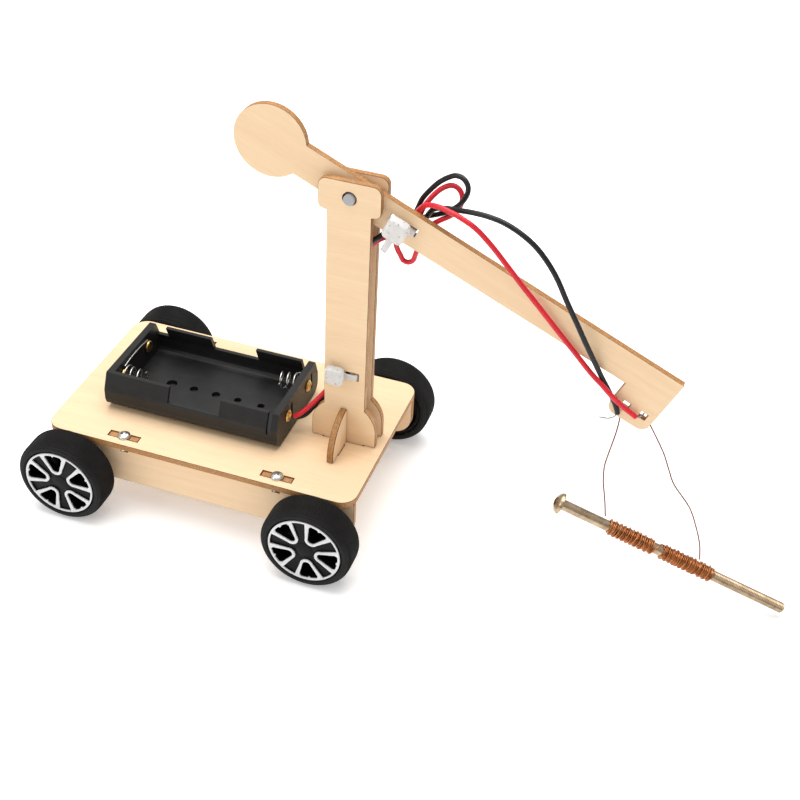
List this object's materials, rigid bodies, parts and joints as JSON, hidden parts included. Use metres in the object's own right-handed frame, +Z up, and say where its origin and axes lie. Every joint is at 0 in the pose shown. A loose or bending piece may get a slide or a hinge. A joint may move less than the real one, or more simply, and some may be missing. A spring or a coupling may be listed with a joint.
{
  "type": "electromagnet crane cart",
  "caption": "Small plywood cart on toy wheels with an open battery holder and a mast whose see-saw boom carries a copper-wound screw electromagnet.",
  "frame": {"origin": "on the floor under the middle of the whole object", "axes": "+X along the deck from the battery end to the hanging electromagnet, +Y from the front wheels to the rear wheels, +Z up"},
  "size_m": [0.2312, 0.083, 0.1322],
  "materials": {
    "plywood": "thin laser-cut birch or basswood plywood, pale faces and scorched brown edges",
    "fastener_steel": "plated steel",
    "axle_steel": "plain steel rod",
    "black_plastic": "semi-gloss moulded black plastic",
    "tyre_rubber": "matt black rubber with fine ribs",
    "silver_trim": "silver-painted plastic",
    "white_nylon": "milky translucent nylon",
    "grey_pin": "light grey plastic pin",
    "foam": "dark double-sided foam tape",
    "contact_brass": "bright brass",
    "contact_steel": "nickel-plated spring steel and tinned wire",
    "red_pvc": "red PVC insulation",
    "black_pvc": "black PVC insulation",
    "gold_zinc": "yellow-zinc plated steel screw",
    "copper": "enamelled copper wire"
  },
  "bodies": {
    "cart": {"deck": "plywood", "side_panel_front": "plywood", "side_panel_rear": "plywood", "deck_screw_front_left": "fastener_steel", "deck_screw_front_right": "fastener_steel", "deck_screw_rear_left": "fastener_steel", "deck_screw_rear_right": "fastener_steel", "deck_nut_front_left": "fastener_steel", "deck_nut_front_right": "fastener_steel", "deck_nut_rear_left": "fastener_steel", "deck_nut_rear_right": "fastener_steel", "upright_front": "plywood", "upright_rear": "plywood", "gusset_front": "plywood", "gusset_rear": "plywood", "pivot_pin": "grey_pin", "mast_tie": "white_nylon", "battery_holder": "black_plastic", "foam_pad": "foam", "contact_rivet_front_left": "contact_brass", "contact_rivet_front_right": "contact_brass", "contact_rivet_rear_left": "contact_brass", "contact_rivet_rear_right": "contact_brass", "battery_spring_front_left": "contact_steel", "battery_spring_rear_right": "contact_steel", "contact_link": "contact_steel", "red_lead_cart": "red_pvc", "black_lead_cart": "black_pvc", "red_lead_flex": "red_pvc", "black_lead_flex": "black_pvc"},
    "boom_arm": {"boom": "plywood", "boom_tie": "white_nylon", "red_lead_boom": "red_pvc", "black_lead_boom": "black_pvc", "red_lead_tail": "contact_steel", "black_lead_tail": "contact_steel"},
    "electromagnet": {"magnet_screw": "gold_zinc", "copper_coil": "copper", "magnet_wire_left": "copper", "magnet_wire_right": "copper"},
    "left_wheel_set": {"axle_left": "axle_steel", "rim_front_left": "black_plastic", "tyre_front_left": "tyre_rubber", "spoke_trim_front_left": "silver_trim", "axle_spacer_front_left": "black_plastic", "rim_rear_left": "black_plastic", "tyre_rear_left": "tyre_rubber", "spoke_trim_rear_left": "silver_trim", "axle_spacer_rear_left": "black_plastic"},
    "right_wheel_set": {"axle_right": "axle_steel", "rim_front_right": "black_plastic", "tyre_front_right": "tyre_rubber", "spoke_trim_front_right": "silver_trim", "axle_spacer_front_right": "black_plastic", "rim_rear_right": "black_plastic", "tyre_rear_right": "tyre_rubber", "spoke_trim_rear_right": "silver_trim", "axle_spacer_rear_right": "black_plastic"}
  },
  "joints": [
    {"name": "boom_pivot", "type": "hinge", "parent": "cart", "child": "boom_arm", "pos_m": [-0.0233, 0, 0.1109], "axis": [0, -1, 0], "range_deg": [-0.5, 45], "deforming": ["red_lead_flex", "black_lead_flex"]},
    {"name": "magnet_swing", "type": "hinge", "parent": "boom_arm", "child": "electromagnet", "pos_m": [0.0621, 0, 0.0572], "axis": [0, 1, 0], "range_deg": [-30, 40]},
    {"name": "left_axle_spin", "type": "hinge", "parent": "cart", "child": "left_wheel_set", "pos_m": [-0.1014, 0, 0.0143], "axis": [0, 1, 0], "continuous": true},
    {"name": "right_axle_spin", "type": "hinge", "parent": "cart", "child": "right_wheel_set", "pos_m": [-0.0212, 0, 0.0143], "axis": [0, 1, 0], "continuous": true}
  ]
}
